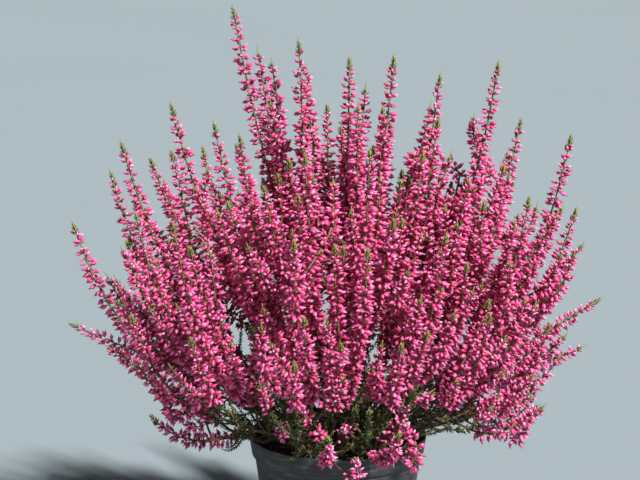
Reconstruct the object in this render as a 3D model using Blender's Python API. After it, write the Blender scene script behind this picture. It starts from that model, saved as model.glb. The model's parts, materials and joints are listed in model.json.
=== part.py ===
"""A potted heather in flower: a plastic pot filled with soil, flowering sprays that fan out of it,
and leafy green shoots round their feet.

Metres, +Z up. The origin is the middle of the pot's underside, and the plant's front faces -Y.
Every spray and every leafy shoot stands in its own plain hole in the soil.
"""

import math
import random

import bmesh
import bpy
from mathutils import Matrix, Vector
from mathutils.kdtree import KDTree

# The pot: a plain 12 cm pot with a band round its rim.
POT_HEIGHT = 0.105
RIM_RADIUS = 0.060
RIM_BAND = 0.014
RIM_PROUD = 0.0018
FOOT_RADIUS = 0.0435
WALL = 0.0018
FLOOR = 0.0024
EDGE = 0.0008
POT_SIDES = 36
DRAIN_HOLES = 6
DRAIN_SIDES = 8
DRAIN_RADIUS = 0.0042
DRAIN_CIRCLE = 0.031

# The soil, and the holes that the stems stand in.
SOIL_BELOW_RIM = 0.005
SOIL_CROWN = 0.003
GAP = 0.0003
HOLE_SIDES = 4
HOLE_ROOM = 0.0009
ROOT_DEPTH = 0.010
COLLAR_HEIGHT = 0.003
ROOT_CIRCLE = 0.038
LEAF_ROOT_CIRCLE = 0.0465

# The fan of flowering sprays spreads from this point, level with the rim. At its foot a shoot leans
# more than it does on the whole: by its lean times this, less the share of it that its tip keeps.
FAN_CENTRE = Vector((0.0, 0.0, POT_HEIGHT))
FOOT_LEAN = 1.6
STEEPEST = 66
STEEPEST_ROOT = 42
FOOT_PULL = 0.40
TIP_PULL = 0.48
SIDE_FOOT_PULL = 0.30
SIDE_TIP_PULL = 0.40
SEED = 11

# A shoot's direction at a place is read off between places this far before and after it.
READ_SPAN = 0.03

# Sprays that make the outline seen from the front: lean to the right in degrees, reach from the
# fan's centre, turn towards the back in degrees, the share of its lean that the tip keeps, and how
# many side spikes it bears.
OUTLINE_SPRAYS = (
    (-80, 0.130, -14, 0.45, 1),
    (-68, 0.196, 3, 0.95, 0),
    (-49, 0.230, -9, 0.32, 2),
    (-43, 0.236, 16, 0.36, 2),
    (-35, 0.246, -6, 0.40, 2),
    (-28, 0.250, 14, 0.45, 2),
    (-21, 0.232, -16, 0.50, 1),
    (-14, 0.296, 12, 0.70, 1),
    (-6, 0.270, -30, 0.60, 2),
    (2, 0.254, 60, 0.60, 2),
    (10, 0.264, -35, 0.55, 2),
    (17, 0.252, 24, 0.50, 2),
    (23, 0.276, -12, 0.36, 2),
    (31, 0.246, 14, 0.36, 2),
    (36, 0.258, -8, 0.30, 2),
    (47, 0.222, 8, 0.32, 1),
    (61, 0.200, -4, 0.90, 0),
    (73, 0.164, 10, 0.50, 1),
)

# Rings of sprays that fill the front and the back of the fan: how many, first and last bearing in
# degrees from +X towards +Y, lean from upright, reach, share of the lean kept, and side spikes.
FILL_RINGS = (
    (4, 226, 314, 22, 0.222, 0.45, 2),
    (6, 206, 334, 38, 0.212, 0.25, 1),
    (6, 196, 344, 55, 0.172, 0.25, 1),
    (2, 258, 292, 70, 0.122, 0.35, 1),
    (2, 60, 118, 24, 0.236, 0.45, 1),
    (3, 42, 136, 42, 0.222, 0.35, 1),
    (3, 46, 142, 62, 0.180, 0.45, 0),
)

# Leafy shoots: bearing, lean and reach.
LEAFY_SHOOTS = (
    (202, 58, 0.092),
    (222, 54, 0.086),
    (240, 54, 0.074),
    (274, 48, 0.084),
    (308, 60, 0.084),
    (328, 50, 0.080),
    (352, 50, 0.080),
    (25, 58, 0.088),
    (90, 56, 0.086),
    (155, 60, 0.088),
)

LEAFY_TURNS = range(-10, 11, 2)

# A spike: a stem with florets round it and a leafy tip. Each row of florets comes in threes, six to
# a pitch, and larger than life.
POINTS = 24
SIDES = 3
STEM_RADIUS = 0.0014
SIDE_STEM_RADIUS = 0.0011
SPIKE_CORE = 0.0032
SPIKE_RADIUS = 0.0066
FLORET_PITCH = 0.0155
FLORET_STEPS = (0.14, 0.30, 0.46, 0.54, 0.70, 0.86)
TIP_LENGTH = 0.014
TIP_RADIUS = 0.0028

# How much of a stem is bare below its florets: of an upright one, a low one and a side one.
UPRIGHT_BARE = 0.50
LOW_BARE = 0.34
SIDE_BARE = 0.28

# Where the rings of a bare stem lie, of a main one and a side one, above its root or its parting.
MAIN_RING = 0.22
SIDE_RING = 0.15

# Side spikes branch off within this part of the main stem. They end at this share of its reach, those
# of low sprays a little further out, and stand this far beside it.
BRANCH_SPAN = (0.24, 0.42)
SHORTER_SPAN = (0.70, 0.90)
SPREAD = 0.026
LOW_LEAN = 50
LOW_LONGER = 0.10

# A leafy shoot's own measures, and where its twig leaves it.
LEAF_CORE = 0.0013
LEAF_RADIUS = 0.0040
LEAF_PITCH = 0.0115
MAIN_LEAF_START = 0.30
SIDE_LEAF_START = 0.20
LEAF_END = 0.93
LEAF_KEPT = 1.1
TWIG_LENGTH = 0.030
TWIG_AT = 0.45
TWIG_THINNER = 0.85

# How the shoots are combed apart. A shoot takes its full width from just below its florets up to near
# its tip. Thin leafy shoots bend in longer curves than spikes do.
COMB_ROUNDS = 120
COMB_PUSH = 1.5
COMB_GAP = 0.0009
WIDENS = 0.03
NARROW_FROM = 0.96
SPIKE_SMOOTHING = 3
LEAFY_SMOOTHING = 9
FOOT_EASE = 5
POT_ROOM = 0.0026

COLOURS = {
    "pot": ((0.055, 0.055, 0.058), 0.62),
    "soil": ((0.045, 0.026, 0.016), 0.95),
    "stem": ((0.10, 0.085, 0.035), 0.80),
    "floret": ((0.80, 0.045, 0.22), 0.50),
    "leaf": ((0.14, 0.20, 0.05), 0.70),
}
SHOOT_MATERIALS = ("stem", "floret", "leaf")


def clear_scene():
    for obj in list(bpy.data.objects):
        bpy.data.objects.remove(obj)


def material(name):
    """The Principled material of that name, made once."""
    found = bpy.data.materials.get(name)
    if found:
        return found
    colour, roughness = COLOURS[name]
    made = bpy.data.materials.new(name)
    made.use_nodes = True
    shader = made.node_tree.nodes["Principled BSDF"]
    shader.inputs["Base Color"].default_value = (*colour, 1.0)
    shader.inputs["Roughness"].default_value = roughness
    shader.inputs["Metallic"].default_value = 0.0
    made.diffuse_color = (*colour, 1.0)
    return made


def add_object(name, bm, materials):
    """Turns a bmesh into a named object in the scene."""
    mesh = bpy.data.meshes.new(name)
    bm.to_mesh(mesh)
    bm.free()
    for each in materials:
        mesh.materials.append(material(each))
    obj = bpy.data.objects.new(name, mesh)
    bpy.context.scene.collection.objects.link(obj)
    return obj


def apply_boolean(obj, others, operation, solver):
    """Cuts the others from obj or joins them to it, then removes them."""
    helpers = bpy.data.collections.new("helpers")
    for other in others:
        bpy.context.scene.collection.objects.unlink(other)
        helpers.objects.link(other)
    modifier = obj.modifiers.new(operation.lower(), "BOOLEAN")
    modifier.operation = operation
    modifier.solver = solver
    modifier.operand_type = "COLLECTION"
    modifier.collection = helpers
    bpy.context.view_layer.update()
    graph = bpy.context.evaluated_depsgraph_get()
    result = bpy.data.meshes.new_from_object(obj.evaluated_get(graph))
    obj.modifiers.clear()
    obj.data = result
    for other in others:
        bpy.data.objects.remove(other)
    bpy.data.collections.remove(helpers)


def spin_profile(profile):
    """A bmesh turned from a section of (radius, height) points, which starts and ends on the axis."""
    bm = bmesh.new()
    verts = [bm.verts.new((radius, 0.0, height)) for radius, height in profile]
    edges = [bm.edges.new(pair) for pair in zip(verts, verts[1:])]
    bmesh.ops.spin(
        bm,
        geom=verts + edges,
        cent=(0, 0, 0),
        axis=(0, 0, 1),
        angle=math.tau,
        steps=POT_SIDES,
        use_merge=True,
    )
    bmesh.ops.remove_doubles(bm, verts=bm.verts, dist=1e-6)
    bmesh.ops.recalc_face_normals(bm, faces=bm.faces)
    return bm


def wall_radius(height):
    """The pot's outer radius at a height, under the rim's band."""
    top = RIM_RADIUS - RIM_PROUD
    return FOOT_RADIUS + (top - FOOT_RADIUS) * height / POT_HEIGHT


def make_pot():
    band = POT_HEIGHT - RIM_BAND
    profile = (
        (0, 0),
        (FOOT_RADIUS - EDGE, 0),
        (FOOT_RADIUS, EDGE),
        (wall_radius(band), band),
        (wall_radius(band) + RIM_PROUD, band + EDGE),
        (RIM_RADIUS, POT_HEIGHT - EDGE),
        (RIM_RADIUS - EDGE, POT_HEIGHT),
        (wall_radius(POT_HEIGHT) - WALL, POT_HEIGHT),
        (wall_radius(FLOOR) - WALL, FLOOR),
        (0, FLOOR),
    )
    pot = add_object("pot", spin_profile(profile), ["pot"])
    drains = []
    for index in range(DRAIN_HOLES):
        bearing = math.tau * (index + 0.5) / DRAIN_HOLES
        bm = bmesh.new()
        bmesh.ops.create_cone(
            bm,
            cap_ends=True,
            segments=DRAIN_SIDES,
            radius1=DRAIN_RADIUS,
            radius2=DRAIN_RADIUS,
            depth=6 * FLOOR,
            matrix=Matrix.Translation(
                (DRAIN_CIRCLE * math.cos(bearing), DRAIN_CIRCLE * math.sin(bearing), 0)
            ),
        )
        drains.append(add_object("drain", bm, []))
    apply_boolean(pot, drains, "DIFFERENCE", "EXACT")
    pot.data.shade_smooth()
    pot.data.set_sharp_from_angle(angle=math.radians(35))
    return pot


def soil_height(radius):
    """The soil's surface: a low crown in the middle of the pot."""
    return POT_HEIGHT - SOIL_BELOW_RIM + SOIL_CROWN * (1 - (radius / RIM_RADIUS) ** 2)


def make_soil(shoots):
    """The block of soil that fills the pot, with a plain hole for each stem."""
    edge_height = soil_height(RIM_RADIUS)
    top_radius = wall_radius(edge_height) - WALL - GAP
    profile = [(0, FLOOR + GAP), (wall_radius(FLOOR) - WALL - GAP, FLOOR + GAP)]
    profile.append((top_radius, edge_height))
    profile.append((0, soil_height(0)))
    soil = add_object("soil", spin_profile(profile), ["soil"])
    cutters = []
    for shoot in shoots:
        root, collar = shoot["points"][0], shoot["points"][1]
        along = (collar - root).normalized()
        length = (collar - root).length + 3 * GAP
        turn = Vector((0, 0, 1)).rotation_difference(along).to_matrix().to_4x4()
        bm = bmesh.new()
        bmesh.ops.create_cone(
            bm,
            cap_ends=True,
            segments=HOLE_SIDES,
            radius1=shoot["radius"] + HOLE_ROOM,
            radius2=shoot["radius"] + HOLE_ROOM,
            depth=length,
            matrix=Matrix.Translation((root + collar) / 2) @ turn,
        )
        cutters.append(add_object("hole", bm, []))
    apply_boolean(soil, cutters, "DIFFERENCE", "EXACT")
    return soil


def direction(lean, bearing):
    """A unit vector that leans from upright towards a bearing, both in degrees."""
    tilt, turn = math.radians(lean), math.radians(bearing)
    return Vector(
        (
            math.sin(tilt) * math.cos(turn),
            math.sin(tilt) * math.sin(turn),
            math.cos(tilt),
        )
    )


def bezier(start, first, second, end, share):
    """The point at a share of the way along a cubic curve."""
    rest = 1 - share
    return (
        start * rest**3
        + first * (3 * rest**2 * share)
        + second * (3 * rest * share**2)
        + end * share**3
    )


def rooted_shoot(root_at, lean, bearing, reach, kept, radius, width):
    """A shoot from its root in the soil over its collar to its tip, in a smooth curve. It leans out at
    its foot and turns up towards the light: kept is the share of its lean that is left at the tip."""
    leaves = min(lean * (FOOT_LEAN - kept), STEEPEST)
    outward = direction(min(leaves, STEEPEST_ROOT), bearing)
    surface = Vector((root_at.x, root_at.y, soil_height(root_at.length)))
    root = surface - outward * ROOT_DEPTH
    collar = surface + outward * COLLAR_HEIGHT
    tip = FAN_CENTRE + direction(lean, bearing) * reach
    span = (tip - collar).length
    first = collar + direction(leaves, bearing) * (FOOT_PULL * span)
    second = tip - direction(lean * kept, bearing) * (TIP_PULL * span)
    curve = [bezier(collar, first, second, tip, k / (POINTS - 2)) for k in range(POINTS - 1)]
    return {
        "points": [root, *curve],
        "radius": radius,
        "width": width,
        "parent": None,
        "start": UPRIGHT_BARE - (UPRIGHT_BARE - LOW_BARE) * min(lean / 60, 1),
    }


def side_shoot(main, share, tip, radius, width):
    """A shoot that leaves the main one at a share of its length and turns up beside it."""
    start = point_along(main["points"], share)
    along = (point_along(main["points"], share + 0.05) - start).normalized()
    span = (tip - start).length
    away = (tip - start).normalized()
    first = start + (along * 0.6 + away * 0.4).normalized() * (SIDE_FOOT_PULL * span)
    last = (main["points"][-1] - main["points"][-4]).normalized()
    second = tip - (last * 0.7 + away * 0.3).normalized() * (SIDE_TIP_PULL * span)
    curve = [bezier(start, first, second, tip, k / (POINTS - 1)) for k in range(POINTS)]
    return {
        "points": curve,
        "radius": radius,
        "width": width,
        "parent": main,
        "share": share,
        "start": SIDE_BARE,
    }


def point_along(points, share):
    """The point at a share of a shoot's length, counted from its first point."""
    place = min(max(share, 0.0), 1.0) * (len(points) - 1)
    index = min(int(place), len(points) - 2)
    return points[index].lerp(points[index + 1], place - index)


def root_places(count, circle, offset):
    """Places spread evenly over a circle of soil, the middle ones first."""
    golden = math.pi * (3 - math.sqrt(5))
    return [
        Vector((math.cos(k * golden + offset), math.sin(k * golden + offset)))
        * (circle * math.sqrt((k + 0.4) / count))
        for k in range(count)
    ]


def share_out(wanted, places):
    """The place for each wanted point, with the sum of the squared distances as small as swaps make it."""
    chosen = list(places)
    better = True
    while better:
        better = False
        for a in range(len(wanted)):
            for b in range(a + 1, len(wanted)):
                kept = (wanted[a] - chosen[a]).length_squared + (wanted[b] - chosen[b]).length_squared
                turned = (wanted[a] - chosen[b]).length_squared + (wanted[b] - chosen[a]).length_squared
                if turned < kept - 1e-9:
                    chosen[a], chosen[b] = chosen[b], chosen[a]
                    better = True
    return chosen


def spray_settings():
    """Lean, bearing, reach, share of the lean kept, and number of side spikes of each spray."""
    draw = random.Random(SEED)
    found = []
    for lean, reach, back, kept, sides in OUTLINE_SPRAYS:
        bearing = back if lean > 0 else 180 - back
        found.append((abs(lean), bearing % 360, reach, kept, sides))
    for count, first, last, lean, reach, kept, sides in FILL_RINGS:
        for index in range(count):
            bearing = first + (last - first) * index / (count - 1) + draw.uniform(-5, 5)
            found.append(
                (
                    lean + draw.uniform(-4, 4),
                    bearing,
                    reach * draw.uniform(0.92, 1.06),
                    kept,
                    sides,
                )
            )
    return found


def plan_sprays():
    """The flowering sprays, each a list of shoots with its main one first."""
    draw = random.Random(SEED + 1)
    settings = sorted(spray_settings(), key=lambda spray: spray[0])
    # A spray that leans further stands further out, on the side that it leans to.
    wanted = []
    for lean, bearing, *_ in settings:
        turn = math.radians(bearing)
        out = ROOT_CIRCLE * math.sin(math.radians(min(lean * 1.4, 90)))
        wanted.append(Vector((math.cos(turn), math.sin(turn))) * out)
    places = share_out(wanted, root_places(len(settings), ROOT_CIRCLE, 0.4))
    sprays = []
    for place, (lean, bearing, reach, kept, sides) in zip(places, settings):
        main = rooted_shoot(place, lean, bearing, reach, kept, STEM_RADIUS, SPIKE_RADIUS)
        side_tips = []
        first_turn = draw.uniform(0, math.tau)
        for index in range(sides):
            turn = first_turn + math.tau * index / sides + draw.uniform(-0.3, 0.3)
            heading = direction(lean, bearing)
            across = heading.cross(Vector((0, 0, 1)))
            if across.length < 0.1:
                across = Vector((1, 0, 0))
            across.normalize()
            over = heading.cross(across)
            aside = across * math.cos(turn) + over * math.sin(turn)
            if lean > LOW_LEAN:
                aside.z = abs(aside.z)
            shorter = draw.uniform(*SHORTER_SPAN) + (LOW_LONGER if lean > LOW_LEAN else 0.0)
            tip = FAN_CENTRE + heading * (reach * shorter) + aside * SPREAD
            side_tips.append((draw.uniform(*BRANCH_SPAN), tip))
        shoots = [main]
        shoots += [
            side_shoot(main, share, tip, SIDE_STEM_RADIUS, SPIKE_RADIUS) for share, tip in side_tips
        ]
        sprays.append(shoots)
    return sprays


def leafy_main(bearing, lean, reach):
    """A leafy shoot's own stem, rooted near the pot's wall."""
    turn = math.radians(bearing)
    place = Vector((math.cos(turn), math.sin(turn))) * LEAF_ROOT_CIRCLE
    main = rooted_shoot(place, lean, bearing, reach, LEAF_KEPT, LEAF_CORE, LEAF_RADIUS)
    main["start"] = SIDE_BARE
    return main


def plan_leafy_shoots(sprays):
    """The green shoots round the sprays' feet, each a main shoot and its twig. Each is turned a little
    to where it has the most room among the stems."""
    draw = random.Random(SEED + 2)
    plants = []
    for bearing, lean, reach in LEAFY_SHOOTS:
        others = [shoot for plant in sprays + plants for shoot in plant]
        stems = [point for shoot in others for point in shoot["points"]]
        tree = KDTree(len(stems))
        for number, point in enumerate(stems):
            tree.insert(point, number)
        tree.balance()
        tried = [leafy_main(bearing + turn, lean, reach) for turn in LEAFY_TURNS]
        main = max(tried, key=lambda each: min(tree.find(p)[2] for p in each["points"][2:]))
        start = point_along(main["points"], TWIG_AT)
        along = (point_along(main["points"], TWIG_AT + 0.06) - start).normalized()
        across = along.cross(Vector((0, 0, 1))).normalized()
        sideways = across * (1 if len(plants) % 2 else -1)
        heading = (along * 0.75 + sideways * 0.65).normalized()
        heading.z = abs(heading.z) + draw.uniform(0, 0.2)
        tip = start + heading * TWIG_LENGTH
        twig = side_shoot(main, TWIG_AT, tip, LEAF_CORE * TWIG_THINNER, LEAF_RADIUS)
        plants.append([main, twig])
    return plants


def shoot_width(shoot, index):
    """How much room a shoot takes round one of its points."""
    share = index / (POINTS - 1)
    if share < shoot["start"] - WIDENS:
        return shoot["radius"]
    if share > NARROW_FROM:
        return shoot["width"] * 0.6
    return shoot["width"]


def joined(shoot, index, other, other_index):
    """Whether two points lie where a side shoot leaves its main one, or beside such a place."""
    if (shoot["parent"] or shoot) is not (other["parent"] or other):
        return False
    near = [k for each, k in ((shoot, index), (other, other_index)) if each["parent"]]
    return min(near) < POINTS // 3


def clear_of_pot(point, width):
    """The push that takes a point of this width off the soil and off the pot's rim and wall."""
    push = Vector((0, 0, 0))
    out = math.hypot(point.x, point.y)
    room = width + POT_ROOM
    if out < RIM_RADIUS - 2 * WALL:
        push.z = max(0.0, soil_height(out) + room - point.z)
    aside, above = out - (RIM_RADIUS - WALL / 2), max(point.z - POT_HEIGHT, 0.0)
    if point.z < POT_HEIGHT and aside < 0:
        aside, above = 0.0, 0.0
    distance = math.hypot(aside, above)
    if distance < 1e-6:
        push.z = POT_HEIGHT + room - point.z
    elif distance < room:
        grow = room / distance - 1
        push.x += point.x / out * aside * grow
        push.y += point.y / out * aside * grow
        push.z = max(push.z, above * grow)
    return push


def smoothed(steps, rounds):
    """A list of vectors, each evened out with its neighbours."""
    last = len(steps) - 1
    for _ in range(rounds):
        steps = [
            (steps[max(k - 1, 0)] + steps[k] * 2 + steps[min(k + 1, last)]) / 4
            for k in range(len(steps))
        ]
    return steps


def comb_apart(shoots):
    """Bends the shoots clear of one another: near points push each other apart, and each push is shared
    out smoothly along its shoot. Roots stay where they are, and side shoots follow their main one."""
    owners = [(shoot, index) for shoot in shoots for index in range(POINTS)]
    reach = 2 * SPIKE_RADIUS + COMB_GAP
    for shoot in shoots:
        shoot["rest"] = list(shoot["points"])
        shoot["moved"] = [Vector((0, 0, 0)) for _ in range(POINTS)]
    for _ in range(COMB_ROUNDS):
        tree = KDTree(len(owners))
        for number, (shoot, index) in enumerate(owners):
            tree.insert(shoot["points"][index], number)
        tree.balance()
        pushes = [Vector((0, 0, 0)) for _ in owners]
        for number, (shoot, index) in enumerate(owners):
            here = shoot["points"][index]
            width = shoot_width(shoot, index)
            for there, other_number, distance in tree.find_range(here, reach):
                other, other_index = owners[other_number]
                if other is shoot or joined(shoot, index, other, other_index):
                    continue
                need = width + shoot_width(other, other_index) + COMB_GAP
                if 1e-6 < distance < need:
                    pushes[number] += (here - there) * ((need - distance) / distance * 0.5)
            if index > 2:
                pushes[number] += clear_of_pot(here, width)
        for start in range(0, len(owners), POINTS):
            shoot = owners[start][0]
            rounds = SPIKE_SMOOTHING if shoot["width"] > LEAF_RADIUS else LEAFY_SMOOTHING
            own = smoothed(pushes[start : start + POINTS], rounds)
            fixed = 0 if shoot["parent"] else 1
            moved = [shoot["moved"][k] + own[k] * COMB_PUSH for k in range(POINTS)]
            moved = smoothed(moved, 1)
            foot = Vector((0, 0, 0))
            if shoot["parent"]:
                main, share = shoot["parent"], shoot["share"]
                foot = point_along(main["points"], share) - shoot["rest"][0]
            for index in range(POINTS):
                ease = min(1.0, max(0, index - fixed) / FOOT_EASE)
                shoot["moved"][index] = moved[index] * ease + foot * (1 - ease)
                shoot["points"][index] = shoot["rest"][index] + shoot["moved"][index]


def frame_rings(points, shares, radii, turns):
    """Rings of points round a shoot at these shares of its length: centre, direction and ring of each."""
    rings = []
    normal = None
    for share, radius, turn in zip(shares, radii, turns):
        centre = point_along(points, share)
        ahead = point_along(points, min(share + READ_SPAN, 1.0))
        behind = point_along(points, max(share - READ_SPAN, 0.0))
        along = (ahead - behind).normalized()
        if normal is None:
            normal = along.orthogonal().normalized()
        normal = (normal - along * normal.dot(along)).normalized()
        across = along.cross(normal)
        angles = [math.tau * side / SIDES + turn for side in range(SIDES)]
        ring = [centre + (normal * math.cos(a) + across * math.sin(a)) * radius for a in angles]
        rings.append((centre, along, ring))
    return rings


def swept_shoot(shoot, shares, radii, bare, stands_out, buds):
    """A closed three-sided tube through rings round a shoot, which ends in a point. Past the bare rings
    each ring is turned by half a side, so that the wall is a band of triangles. A bud rises from each,
    one a little higher than another. stands_out holds how far it reaches, for each band with buds, and
    buds is its material. Bands past the last of these belong to the plain green tip."""
    turns = [math.pi / SIDES * max(0, k - bare + 1) for k in range(len(shares))]
    rings = frame_rings(shoot["points"], shares, radii, turns)
    bm = bmesh.new()
    foot = [bm.verts.new(point) for point in rings[0][2]]
    cap = bm.faces.new(foot)
    for number in range(1, len(rings)):
        centre, along, ring = rings[number]
        cap = bmesh.ops.extrude_discrete_faces(bm, faces=[cap])["faces"][0]
        for vert, point in zip(cap.verts, ring):
            vert.co = point
        if number < bare:
            continue
        if number - bare >= len(stands_out):
            for face in [loop.face for edge in cap.edges for loop in edge.link_loops]:
                face.material_index = SHOOT_MATERIALS.index("leaf")
            continue
        before = rings[number - 1][0]
        middle = (centre + before) / 2
        walls = [loop.link_loop_radial_next.face for loop in cap.loops]
        split = []
        for wall in walls:
            upper = [vert for vert in wall.verts if vert in cap.verts]
            lower = [vert for vert in wall.verts if vert not in cap.verts]
            pairs = [(a, b) for a in upper for b in lower if bm.edges.get((a, b)) is None]
            pair = max(pairs, key=lambda ends: (ends[0].co - centre).dot(ends[1].co - before))
            other, _ = bmesh.utils.face_split(wall, *pair)
            split += [wall, other]
        raised = bmesh.ops.poke(bm, faces=split)
        low, high = iter(FLORET_STEPS[:SIDES]), iter(FLORET_STEPS[SIDES:])
        for vert in raised["verts"]:
            corners = [edge.other_vert(vert) for edge in vert.link_edges]
            step = next(high if sum(v in cap.verts for v in corners) == 2 else low)
            outward = vert.co - middle
            outward = (outward - along * outward.dot(along)).normalized()
            vert.co = before.lerp(centre, step) + outward * stands_out[number - bare]
        for face in raised["faces"]:
            face.material_index = SHOOT_MATERIALS.index(buds)
    tip = bmesh.ops.poke(bm, faces=[cap])
    tip["verts"][0].co = shoot["points"][-1]
    for face in tip["faces"]:
        face.material_index = SHOOT_MATERIALS.index("leaf")
    bm.faces.new(list(reversed(foot)))
    bmesh.ops.recalc_face_normals(bm, faces=bm.faces)
    return bm


def shoot_length(shoot):
    points = shoot["points"]
    return sum((b - a).length for a, b in zip(points, points[1:]))


def flower_spike(shoot):
    """A bare stem, florets round its upper part, and a leafy tip."""
    length = shoot_length(shoot)
    stem = [0.0, SIDE_RING] if shoot["parent"] else [0.0, 1 / (POINTS - 1), MAIN_RING]
    start, end = shoot["start"], 1 - TIP_LENGTH / length
    count = max(2, round((end - start) * length / FLORET_PITCH))
    flowers = [start + (end - start) * k / count for k in range(count + 1)]
    shares = [*stem, *flowers, 1 - 0.55 * TIP_LENGTH / length]
    radii = [shoot["radius"]] * (len(stem) + 1)
    radii += [SPIKE_CORE * (1 - 0.4 * k / count) for k in range(1, count + 1)]
    radii += [TIP_RADIUS]
    stands_out = [SPIKE_RADIUS * min(1.0, 0.7 + 0.3 * (count - k) / 3) for k in range(count)]
    stands_out[0] = SPIKE_RADIUS * 0.8
    return swept_shoot(shoot, shares, radii, len(stem) + 1, stands_out, "floret")


def leafy_twig(shoot):
    """A green shoot with leaves raised round it."""
    length = shoot_length(shoot)
    start, stem = MAIN_LEAF_START, [0.0, 1 / (POINTS - 1)]
    if shoot["parent"]:
        start, stem = SIDE_LEAF_START, [0.0]
    count = max(2, round((LEAF_END - start) * length / LEAF_PITCH))
    leaves = [start + (LEAF_END - start) * k / count for k in range(count + 1)]
    radii = [shoot["radius"]] * len(stem) + [LEAF_CORE] * count + [LEAF_CORE * 0.5]
    stands_out = [LEAF_RADIUS * min(1.0, 0.6 + 0.2 * (count - k)) for k in range(count)]
    return swept_shoot(shoot, [*stem, *leaves], radii, len(stem) + 1, stands_out, "leaf")


def make_plant(name, shoots, shape):
    """One node: its main shoot with the side ones joined to it."""
    main = add_object(name, shape(shoots[0]), SHOOT_MATERIALS)
    others = [add_object("side", shape(shoot), SHOOT_MATERIALS) for shoot in shoots[1:]]
    if others:
        apply_boolean(main, others, "UNION", "MANIFOLD")
    return main


def main():
    clear_scene()
    sprays = plan_sprays()
    leafy = plan_leafy_shoots(sprays)
    comb_apart([shoot for plant in sprays + leafy for shoot in plant])
    make_pot()
    make_soil([plant[0] for plant in sprays + leafy])
    for number, shoots in enumerate(sprays, 1):
        make_plant(f"spray_{number:02d}", shoots, flower_spike)
    for number, shoots in enumerate(leafy, 1):
        make_plant(f"leafy_shoot_{number:02d}", shoots, leafy_twig)


main()
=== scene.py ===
"""The potted heather, dressed: buds, leaves, bark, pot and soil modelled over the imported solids.

Metres, +Z up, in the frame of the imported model. The plant's front faces -Y.
"""

import json
import math
import random

import bmesh
import bpy
from mathutils import Matrix, Vector, noise
from mathutils.kdtree import KDTree

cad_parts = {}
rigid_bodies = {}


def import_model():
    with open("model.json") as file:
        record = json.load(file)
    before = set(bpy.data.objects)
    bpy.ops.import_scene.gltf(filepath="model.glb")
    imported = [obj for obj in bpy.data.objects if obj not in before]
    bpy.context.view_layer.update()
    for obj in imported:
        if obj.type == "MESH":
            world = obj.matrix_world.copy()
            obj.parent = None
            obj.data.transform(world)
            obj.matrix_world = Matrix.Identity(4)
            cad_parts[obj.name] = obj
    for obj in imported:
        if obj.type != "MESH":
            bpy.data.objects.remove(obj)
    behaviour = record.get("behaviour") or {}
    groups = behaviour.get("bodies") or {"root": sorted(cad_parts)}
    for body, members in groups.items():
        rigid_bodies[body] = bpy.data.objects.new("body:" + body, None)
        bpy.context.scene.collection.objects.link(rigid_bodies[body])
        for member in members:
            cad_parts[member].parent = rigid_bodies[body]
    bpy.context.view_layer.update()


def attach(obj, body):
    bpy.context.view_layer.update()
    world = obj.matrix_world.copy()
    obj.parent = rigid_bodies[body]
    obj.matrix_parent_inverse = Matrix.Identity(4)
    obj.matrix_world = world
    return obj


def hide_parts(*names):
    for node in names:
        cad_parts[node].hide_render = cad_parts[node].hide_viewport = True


# The pot and the soil, as the solids have them.
POT_HEIGHT = 0.105
RIM_RADIUS = 0.060
RIM_BAND = 0.014
RIM_PROUD = 0.0018
FOOT_RADIUS = 0.0435
WALL = 0.0018
FLOOR = 0.0024
EDGE = 0.0008
DRAIN_HOLES = 6
DRAIN_RADIUS = 0.0042
DRAIN_CIRCLE = 0.031
SOIL_BELOW_RIM = 0.005
SOIL_CROWN = 0.003
GAP = 0.0003

# How the shoots stand, as the solids have it.
ROOT_DEPTH = 0.010
COLLAR_HEIGHT = 0.003
STEEPEST_ROOT = 42
STEEPEST = 66
FOOT_LEAN = 1.6
FOOT_PULL = 0.40
TIP_PULL = 0.48
SIDE_FOOT_PULL = 0.30
SIDE_TIP_PULL = 0.40
READ_SPAN = 0.03
UPRIGHT_BARE = 0.50
LOW_BARE = 0.34
SIDE_BARE = 0.28
GOLDEN_TURN = math.pi * (3 - math.sqrt(5))
FAN_CENTRE = Vector((0.0, 0.0, POT_HEIGHT))
SEED = 11
ROOT_CIRCLE = 0.038
LEAF_ROOT_CIRCLE = 0.0465

# Lean to the right, reach, turn to the back, share of the lean kept at the tip, and side spikes.
OUTLINE_SPRAYS = (
    (-80, 0.130, -14, 0.45, 1),
    (-68, 0.196, 3, 0.95, 0),
    (-49, 0.230, -9, 0.32, 2),
    (-43, 0.236, 16, 0.36, 2),
    (-35, 0.246, -6, 0.40, 2),
    (-28, 0.250, 14, 0.45, 2),
    (-21, 0.232, -16, 0.50, 1),
    (-14, 0.296, 12, 0.70, 1),
    (-6, 0.270, -30, 0.60, 2),
    (2, 0.254, 60, 0.60, 2),
    (10, 0.264, -35, 0.55, 2),
    (17, 0.252, 24, 0.50, 2),
    (23, 0.276, -12, 0.36, 2),
    (31, 0.246, 14, 0.36, 2),
    (36, 0.258, -8, 0.30, 2),
    (47, 0.222, 8, 0.32, 1),
    (61, 0.200, -4, 0.90, 0),
    (73, 0.164, 10, 0.50, 1),
)

# How many, first and last bearing, lean, reach, share of the lean kept, and side spikes.
FILL_RINGS = (
    (4, 226, 314, 22, 0.222, 0.45, 2),
    (6, 206, 334, 38, 0.212, 0.25, 1),
    (6, 196, 344, 55, 0.172, 0.25, 1),
    (2, 258, 292, 70, 0.122, 0.35, 1),
    (2, 60, 118, 24, 0.236, 0.45, 1),
    (3, 42, 136, 42, 0.222, 0.35, 1),
    (3, 46, 142, 62, 0.180, 0.45, 0),
)

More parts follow.
